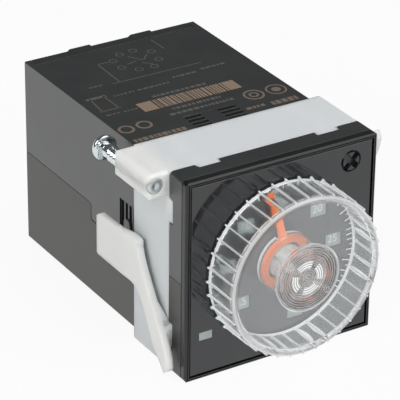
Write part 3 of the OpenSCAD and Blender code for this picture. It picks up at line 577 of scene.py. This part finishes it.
# A row of dashes has its left end, right end, middle and height, and a ring its middle, outer
# and inner radius
dashes = {"seed": 7, "dashMm": (0.5, 1.4), "gapMm": (0.25, 0.4),
          "lowRows": [(-16.9, -13.6, 46.3, 0.5), (-14.2, -9.0, 40.0, 0.5), (-8.1, 0.1, 40.0, 0.6),
                      (-7.0, 6.8, 35.4, 0.9), (2.1, 8.8, 41.8, 0.7), (9.9, 16.7, 42.5, 0.7),
                      (-20.5, -17.0, 32.2, 0.5), (-16.2, -12.7, 32.1, 0.5), (-6.3, 6.0, 27.9, 1.0),
                      (-8.3, 8.0, 25.6, 1.0)],
          "tallRows": [(-21.6, -8.2, 18.4, 1.5), (7.6, 12.6, 19.6, 1.0), (13.9, 20.6, 19.2, 1.8)],
          "rings": [(12.9, 25.0, 2.5, 1.95), (12.9, 25.0, 1.2, 0.7), (18.7, 24.9, 2.5, 2.05),
                    (18.7, 24.9, 1.1, 0.0), (-15.7, 24.3, 1.9, 1.3), (-20.2, 24.2, 1.9, 1.3)]}
frameMark = {"lineMm": 0.35, "foot": (-20.6, 40.6, -15.6, 41.6),
             "lines": [(-20.8, 34.4, -15.6, 34.4), (-20.3, 34.4, -19.6, 41.2),
                       (-16.1, 34.4, -16.2, 41.2)]}


def onTop(u, v):
    return Vector((u, v, caseTop + inkMm)) * mm


def barFieldShapes():
    pick = random.Random(barField["seed"])
    front, rear = barField["front"], barField["rear"]
    shapes = [box2d(left, front, right, rear) for left, right in barField["blocks"]]
    u = barField["from"]
    while u < barField["until"]:
        width = pick.choice(barField["barsMm"])
        shapes.append(box2d(u, front, min(u + width, barField["end"]), rear))
        u += width + pick.choice(barField["gapsMm"])
    return shapes


def diagramShapes():
    shapes = [bar(*line, diagram["lineMm"]) for line in diagram["lines"]]
    for u, v in diagram["rings"]:
        shapes += ringShapes(u, v, diagram["outer"], diagram["inner"])
    return shapes


def dashShapes(rows, pick):
    shapes = []
    for left, right, v, high in rows:
        u = left
        while u < right - dashes["gapMm"][1]:
            width = min(pick.uniform(*dashes["dashMm"]), right - u)
            shapes.append(box2d(u, v - high / 2, u + width, v + high / 2))
            u += width + pick.uniform(*dashes["gapMm"])
    return shapes


def tallShapes(pick):
    shapes = dashShapes(dashes["tallRows"], pick)
    for ring in dashes["rings"]:
        shapes += ringShapes(*ring)
    return shapes


def frameMarkShapes():
    shapes = [bar(*line, frameMark["lineMm"]) for line in frameMark["lines"]]
    return shapes + [box2d(*frameMark["foot"])]


dashPick = random.Random(dashes["seed"])
for name, shapes, ink in (("caseBarField", barFieldShapes(), markInk),
                          ("caseDiagram", diagramShapes(), faintInk),
                          ("caseDashes", dashShapes(dashes["lowRows"], dashPick), faintInk),
                          ("caseTallDashes", tallShapes(dashPick), brownInk),
                          ("caseFrameMark", frameMarkShapes(), faintInk)):
    sheetOfShapes(name, shapes, onTop, ink, "housing")
print("case marks printed")


# Clamp screws with a real thread, a cross slot and a cut end stand for the plain ones. The head's
# underside lies headUnder behind the panel's front face.
screw = {"headUnder": 21.3, "length": 20.7, "crest": 1.8, "root": 1.35, "neckR": 1.6, "neck": 2.0,
         "pitch": 1.2, "perTurn": 32, "sides": 32}
head = {"r": 2.9, "high": 2.0, "foot": 0.4, "edge": 0.25, "roundness": 0.7, "sides": 48,
        "steps": 8}
slot = {"width": 0.66, "reach": 1.6, "floor": 0.7, "floorShare": 0.6, "topShare": 1.15}
tip = {"r": 1.74, "chamfer": 0.25, "chamferLong": 0.15, "long": 0.7,
       "dimple": [(0.3, 0.3), (0.55, 0.1), (0.75, 0.0)]}  # radius and depth, from its floor out

# One turn's profile: share of the pitch, then share of the way from root to crest
threadProfile = [(0.0, 0.0), (0.34, 0.0), (0.58, 1.0), (0.68, 1.0)]


def lathe(bm, profile, sides):
    rings = []
    for r, y in profile:
        rings.append([bm.verts.new((r * math.sin(2 * math.pi * i / sides), y,
                                    r * math.cos(2 * math.pi * i / sides))) for i in range(sides)])
    for low, high in zip(rings, rings[1:]):
        for i in range(sides):
            j = (i + 1) % sides
            bm.faces.new((low[i], low[j], high[j], high[i]))
    bm.faces.new(rings[0])
    bm.faces.new(rings[-1])


def meshPiece(name, bm, smooth=True):
    bmesh.ops.recalc_face_normals(bm, faces=bm.faces)
    mesh = bpy.data.meshes.new(name)
    bm.to_mesh(mesh)
    bm.free()
    piece = bpy.data.objects.new(name, mesh)
    scene.collection.objects.link(piece)
    if smooth:
        for face in mesh.polygons:
            face.use_smooth = True
    return piece


def threadRidge(bm, start, steps):
    turn, deep = screw["perTurn"], screw["crest"] - screw["root"]
    rows = []
    for share, rise in threadProfile:
        row = []
        for n in range(steps + 1):
            angle = 2 * math.pi * n / turn
            fade = min(1.0, n / turn, (steps - n) / turn)
            r = screw["root"] + deep * rise * fade
            y = start + screw["pitch"] * (n / turn + share)
            row.append(bm.verts.new((r * math.sin(angle), y, r * math.cos(angle))))
        rows.append(row)
    for low, high in zip(rows, rows[1:]):
        for n in range(steps):
            bm.faces.new((low[n], high[n], high[n + 1], low[n + 1]))
    for n in range(steps - turn):
        bm.faces.new((rows[-1][n], rows[0][n + turn], rows[0][n + turn + 1], rows[-1][n + 1]))
    bm.faces.new(rows[0][:turn])


def threadedShank(name):
    bm = bmesh.new()
    start = screw["headUnder"] - screw["length"]
    steps = int((screw["length"] - screw["neck"]) / screw["pitch"]) * screw["perTurn"]
    end = start + screw["pitch"] * steps / screw["perTurn"]
    threadRidge(bm, start, steps)
    lathe(bm, [(screw["root"], end - 0.2), (screw["root"], end + 0.5), (screw["neckR"], end + 0.9),
               (screw["neckR"], screw["headUnder"] + 0.1)], screw["sides"])
    return meshPiece(name, bm)


def cutTip(name):
    bm = bmesh.new()
    start = screw["headUnder"] - screw["length"]
    profile = [(r, start + deep) for r, deep in tip["dimple"]]
    profile += [(tip["r"] - tip["chamfer"], start), (tip["r"], start + tip["chamferLong"]),
                (tip["r"], start + tip["long"]), (0.5, start + tip["long"] + 0.1)]
    lathe(bm, profile, screw["sides"])
    return meshPiece(name, bm)


def headProfile():
    under, r = screw["headUnder"], head["r"]
    points = [(0.5, under), (r - head["edge"], under), (r - 0.05, under + 0.12),
              (r, under + head["foot"])]
    for i in range(1, head["steps"] + 1):
        a = math.radians(90 * i / head["steps"])
        points.append((max(r * math.cos(a) ** head["roundness"], 0.001),
                       under + head["foot"] + (head["high"] - head["foot"]) * math.sin(a)))
    return points


def crossCutter():
    bm = bmesh.new()
    half, reach = slot["width"] / 2, slot["reach"]
    quarter = [(half, half), (half, reach), (-half, reach)]
    outline = []
    for turn in range(4):
        a = math.radians(90 * turn)
        outline += [(x * math.cos(a) - z * math.sin(a), x * math.sin(a) + z * math.cos(a))
                    for x, z in quarter]
    levels = ((screw["headUnder"] + slot["floor"], slot["floorShare"]),
              (screw["headUnder"] + head["high"] + 1, slot["topShare"]))
    rings = [[bm.verts.new((x * share, y, z * share)) for x, z in outline] for y, share in levels]
    for i in range(len(outline)):
        j = (i + 1) % len(outline)
        bm.faces.new((rings[0][i], rings[0][j], rings[1][j], rings[1][i]))
    bm.faces.new(rings[0])
    bm.faces.new(rings[1])
    return meshPiece("crossCutter", bm, False)


def carve(piece, cutter):
    cut = piece.modifiers.new("recess", "BOOLEAN")
    cut.object = cutter
    cut.operation = "DIFFERENCE"
    cut.solver = "EXACT"
    bpy.context.view_layer.update()
    evaluated = piece.evaluated_get(bpy.context.evaluated_depsgraph_get())
    done = bpy.data.meshes.new_from_object(evaluated)
    piece.modifiers.clear()
    old = piece.data
    piece.data = done
    bpy.data.meshes.remove(old)
    bpy.data.objects.remove(cutter)


def crossHead(name):
    bm = bmesh.new()
    lathe(bm, headProfile(), head["sides"])
    piece = meshPiece(name, bm)
    carve(piece, crossCutter())
    return piece


def clampScrew(name, place, body, node):
    for piece, metal in ((threadedShank(name + "Thread"), zincSteel),
                         (crossHead(name + "Head"), zincSteel),
                         (cutTip(name + "Tip"), cutSteel)):
        piece.data.transform(Matrix.Translation(place))
        piece.data.transform(Matrix.Scale(mm, 4))
        piece.data.materials.clear()
        piece.data.materials.append(metal)
        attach(piece, body)
        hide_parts(node)


clampScrew("leftScrew", screwPlace, "left_screw", "clamp_screw_left")
clampScrew("rightScrew", -screwPlace, "right_screw", "clamp_screw_right")
print("clamp screws threaded")


# The camera stands where the photograph's stood. Places and the floor are in metres.
studio = {"lensMm": 231.8, "sensorMm": 36, "cameraPlace": (-0.27045, -0.40551, 0.26679),
          "cameraLooks": (0.46986663, 0.75021994, -0.46518318), "rollDegrees": 0.687,
          "floorHalf": 3, "paper": "#ececec", "paperShade": "#e6e6e6", "fibreMm": 2,
          "floorWhite": 0.91, "glossySky": 0.12, "plainSky": 0.4, "lampsAim": (0, 0.025, 0)}
# Soft box lamps: size is the side in metres, power is in watts
lamps = {
    "keyLeft": {"place": (-0.9, -0.3, 0.7), "size": 0.7, "power": 6.3},
    "fillFront": {"place": (0.35, -1.0, 0.5), "size": 0.8, "power": 3.6},
    "overhead": {"place": (0.4, -0.4, 0.95), "size": 0.8, "power": 3.4},
}


def placeCamera():
    data = bpy.data.cameras.new("photoCamera")
    data.lens = studio["lensMm"]
    data.sensor_width = studio["sensorMm"]
    data.clip_start = 0.01
    camera = bpy.data.objects.new("photoCamera", data)
    scene.collection.objects.link(camera)
    looks = Vector(studio["cameraLooks"]).normalized()
    right = looks.cross(Vector((0, 0, 1))).normalized()
    up = right.cross(looks)
    roll = math.radians(studio["rollDegrees"])
    tilted = right * math.cos(roll) + up * math.sin(roll)
    over = tilted.cross(looks)
    camera.matrix_world = Matrix.Translation(Vector(studio["cameraPlace"])) @ Matrix(
        (tilted, over, -looks)).transposed().to_4x4()
    scene.camera = camera


# Straight through a clear piece the backdrop shows white, but not after a mirroring on the way
def throughClear(tree, rays):
    direct = addNode(tree, "ShaderNodeMath", {"operation": "LESS_THAN"}, {1: 0.5},
                     {0: rays.outputs["Glossy Depth"]})
    return addNode(tree, "ShaderNodeMath", {"operation": "MULTIPLY"}, None,
                   {0: rays.outputs["Is Transmission Ray"], 1: direct.outputs[0]}).outputs[0]


# Pale matt paper: most of what the eye sees of it is even white, and the rest takes the shadow
def layFloor():
    bm = bmesh.new()
    half, low = studio["floorHalf"], cadBox[0].z
    corners = [bm.verts.new((x, y, low)) for x, y in box2d(-half, -half, half, half)]
    bm.faces.new(corners)
    floor = meshPiece("studioFloor", bm, False)
    material, tree, output, place = newMaterial("paperPaleMattBackdrop")
    fibre = addNode(tree, "ShaderNodeTexNoise", None,
                    {"Scale": 1 / (studio["fibreMm"] * mm), "Detail": 3.0}, {"Vector": place})
    colour = addNode(tree, "ShaderNodeMix", colourMix,
                     {6: hexToLinear(studio["paper"]), 7: hexToLinear(studio["paperShade"])},
                     {0: fibre.outputs[0]}).outputs[2]
    matt = addNode(tree, "ShaderNodeBsdfDiffuse", None, None, {"Color": colour})
    seen = addNode(tree, "ShaderNodeEmission", None, {"Color": (1, 1, 1, 1), "Strength": 1.0})
    rays = addNode(tree, "ShaderNodeLightPath")
    shown = addNode(tree, "ShaderNodeMath", {"operation": "MAXIMUM"}, None,
                    {0: rays.outputs["Is Camera Ray"], 1: rays.outputs["Is Glossy Ray"]})
    shown = addNode(tree, "ShaderNodeMath", {"operation": "MAXIMUM"}, None,
                    {0: shown.outputs[0], 1: throughClear(tree, rays)})
    share = addNode(tree, "ShaderNodeMath", {"operation": "MULTIPLY"}, {1: studio["floorWhite"]},
                    {0: shown.outputs[0]})
    mix = addNode(tree, "ShaderNodeMixShader", None, None,
                  {0: share.outputs[0], 1: matt.outputs[0], 2: seen.outputs[0]})
    tree.links.new(mix.outputs[0], output.inputs[0])
    floor.data.materials.append(material)


# The sky is white where it is seen, and dimmer as light and in mirrors
def lightWorld():
    world = bpy.data.worlds.new("studioWorld")
    scene.world = world
    world.use_nodes = True
    tree = world.node_tree
    tree.nodes.clear()
    output = addNode(tree, "ShaderNodeOutputWorld")
    rays = addNode(tree, "ShaderNodeLightPath")
    shown = addNode(tree, "ShaderNodeMath", {"operation": "MAXIMUM"}, None,
                    {0: rays.outputs["Is Camera Ray"], 1: throughClear(tree, rays)})
    dull = addNode(tree, "ShaderNodeMapRange", None,
                   {"To Min": studio["plainSky"], "To Max": studio["glossySky"]},
                   {"Value": rays.outputs["Is Glossy Ray"]})
    level = addNode(tree, "ShaderNodeMapRange", None, {"To Max": 1.0},
                    {"Value": shown.outputs[0], "To Min": dull.outputs[0]})
    sky = addNode(tree, "ShaderNodeBackground", None, {"Color": (1, 1, 1, 1)},
                  {"Strength": level.outputs[0]})
    tree.links.new(sky.outputs[0], output.inputs[0])


def hangLamps():
    for name, lamp in lamps.items():
        data = bpy.data.lights.new(name, "AREA")
        data.shape = "SQUARE"
        data.size = lamp["size"]
        data.energy = lamp["power"]
        holder = bpy.data.objects.new(name, data)
        scene.collection.objects.link(holder)
        holder.location = lamp["place"]
        aim = Vector(studio["lampsAim"]) - Vector(lamp["place"])
        holder.rotation_euler = aim.to_track_quat("-Z", "Y").to_euler()


placeCamera()
layFloor()
lightWorld()
hangLamps()
scene.view_settings.view_transform = "Standard"
print("studio set")
